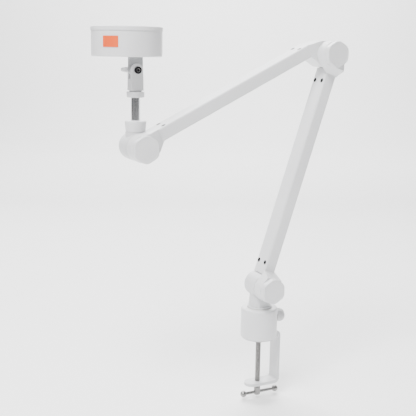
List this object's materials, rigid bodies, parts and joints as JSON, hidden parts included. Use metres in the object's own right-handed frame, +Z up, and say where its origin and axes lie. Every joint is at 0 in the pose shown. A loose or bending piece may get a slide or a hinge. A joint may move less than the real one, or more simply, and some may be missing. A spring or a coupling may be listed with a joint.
{
  "type": "desk-clamp dental light",
  "caption": "Articulated dental light on a desk clamp: swivel base, two box-section arms with friction hinges, a chrome rod and a tilting round lamp head.",
  "frame": {"origin": "centre of the base drum's underside, on the desk top and on the swivel axis", "axes": "+Z up, +X from the swivel axis towards the clamp's back plate and the elbow, -Y towards the hinge knobs"},
  "size_m": [0.3808, 0.0963, 0.5585],
  "materials": {
    "white_powder_coat": "satin powder coat",
    "white_arm_coat": "white powder-coated extrusion",
    "white_plastic": "semi-gloss moulding",
    "polished_rod": "polished",
    "bright_steel": "bright",
    "black_steel": "black oxide",
    "grey_tab": "satin",
    "orange_label": "satin",
    "black_rubber": "matt",
    "bearing_nylon": "natural",
    "diffuser": "translucent",
    "circuit_board": "solder mask",
    "led_yellow": "phosphor",
    "sink_aluminium": "mill",
    "inlet_black": "satin"
  },
  "bodies": {
    "clamp_base": {"drum_housing": "white_arm_coat", "base_plate": "bright_steel", "base_screws": "bright_steel", "desk_pad": "black_rubber", "swivel_bushing": "bearing_nylon", "swivel_washer": "bearing_nylon", "clamp_frame": "white_powder_coat"},
    "lock_knob_body": {"lock_knob": "white_plastic", "lock_screw": "bright_steel"},
    "pad_body": {"pressure_pad": "bright_steel"},
    "screw_body": {"clamp_screw": "bright_steel"},
    "bar_body": {"tommy_bar": "bright_steel", "bar_caps": "bright_steel"},
    "swivel_body": {"base_post": "white_powder_coat", "post_retainer": "bright_steel", "retainer_screw": "bright_steel", "base_bolt": "bright_steel", "base_friction_washer": "bearing_nylon"},
    "base_knob_body": {"base_knob": "white_plastic", "base_knob_nut": "bright_steel"},
    "lower_arm": {"lower_arm_tube": "white_arm_coat", "lower_arm_base_fitting": "white_arm_coat", "lower_arm_elbow_fitting": "white_arm_coat", "lower_arm_screws": "black_steel"},
    "upper_arm": {"upper_arm_tube": "white_arm_coat", "upper_arm_wrist_fitting": "white_arm_coat", "upper_arm_elbow_fitting": "white_arm_coat", "upper_arm_screws": "black_steel", "elbow_bolt": "bright_steel", "elbow_friction_washer": "bearing_nylon"},
    "elbow_knob_body": {"elbow_knob": "white_plastic", "elbow_knob_nut": "bright_steel"},
    "wrist_body": {"wrist_post": "white_powder_coat", "rod_collet": "bearing_nylon", "chrome_rod": "polished_rod", "wrist_bolt": "bright_steel", "wrist_friction_washer": "bearing_nylon"},
    "wrist_knob_body": {"wrist_knob": "white_plastic", "wrist_knob_nut": "bright_steel"},
    "collar_body": {"collar_nut": "white_arm_coat"},
    "bracket_body": {"lock_ring": "white_arm_coat", "bracket_block": "white_arm_coat", "tilt_screw": "black_steel", "tilt_washer": "bright_steel"},
    "wing_body": {"wing_nut": "white_arm_coat"},
    "head_body": {"head_tab": "grey_tab", "head_tab_screws": "bright_steel", "rear_housing": "white_plastic", "bezel_ring": "white_plastic", "front_lens": "diffuser", "lens_gasket": "black_rubber", "reflector_tray": "white_plastic", "led_board": "circuit_board", "led_chips": "led_yellow", "heat_sink": "sink_aluminium", "head_core_screws": "bright_steel", "driver_board": "circuit_board", "dc_inlet": "inlet_black", "head_label": "orange_label"}
  },
  "joints": [
    {"name": "lock_knob_turn", "type": "hinge", "parent": "clamp_base", "child": "lock_knob_body", "pos_m": [0.03, 0, 0.0305], "axis": [1, 0, 0], "continuous": true},
    {"name": "pad_slide", "type": "slide", "parent": "clamp_base", "child": "pad_body", "axis": [0, 0, 1], "range_m": [-0.0601, 0]},
    {"name": "screw_turn", "type": "hinge", "parent": "pad_body", "child": "screw_body", "pos_m": [0, 0, -0.05], "axis": [0, 0, 1], "range_deg": [-17280, 0]},
    {"name": "bar_slide", "type": "slide", "parent": "screw_body", "child": "bar_body", "axis": [1, 0, 0], "range_m": [-0.0215, 0.0135]},
    {"name": "base_swivel", "type": "hinge", "parent": "clamp_base", "child": "swivel_body", "pos_m": [0, 0, 0.048], "axis": [0, 0, 1], "continuous": true},
    {"name": "base_knob_turn", "type": "hinge", "parent": "swivel_body", "child": "base_knob_body", "pos_m": [0, 0, 0.083], "axis": [0, -1, 0], "continuous": true},
    {"name": "base_tilt", "type": "hinge", "parent": "swivel_body", "child": "lower_arm", "pos_m": [0, 0, 0.083], "axis": [0, -1, 0], "range_deg": [-75, 80]},
    {"name": "elbow", "type": "hinge", "parent": "lower_arm", "child": "upper_arm", "pos_m": [0.09495, 0, 0.43025], "axis": [0, -1, 0], "range_deg": [-125, 10]},
    {"name": "elbow_knob_turn", "type": "hinge", "parent": "upper_arm", "child": "elbow_knob_body", "pos_m": [0.09495, 0, 0.43025], "axis": [0, -1, 0], "continuous": true},
    {"name": "wrist_tilt", "type": "hinge", "parent": "upper_arm", "child": "wrist_body", "pos_m": [-0.20174, 0, 0.30258], "axis": [0, -1, 0], "range_deg": [-5, 180]},
    {"name": "wrist_knob_turn", "type": "hinge", "parent": "wrist_body", "child": "wrist_knob_body", "pos_m": [-0.20174, 0, 0.30258], "axis": [0, -1, 0], "continuous": true},
    {"name": "collar_turn", "type": "hinge", "parent": "wrist_body", "child": "collar_body", "pos_m": [-0.20174, 0, 0.33258], "axis": [0, 0, 1], "continuous": true},
    {"name": "head_swivel", "type": "hinge", "parent": "wrist_body", "child": "bracket_body", "pos_m": [-0.20174, 0, 0.37258], "axis": [0, 0, 1], "continuous": true},
    {"name": "wing_turn", "type": "hinge", "parent": "bracket_body", "child": "wing_body", "pos_m": [-0.20174, 0, 0.40558], "axis": [0, -1, 0], "continuous": true},
    {"name": "head_tilt", "type": "hinge", "parent": "bracket_body", "child": "head_body", "pos_m": [-0.20174, 0, 0.40558], "axis": [0, -1, 0], "range_deg": [-85, 85]}
  ],
  "couplings": [
    {"joint": "pad_slide", "follows": "screw_turn", "m_per_rad": 0.00019894}
  ]
}
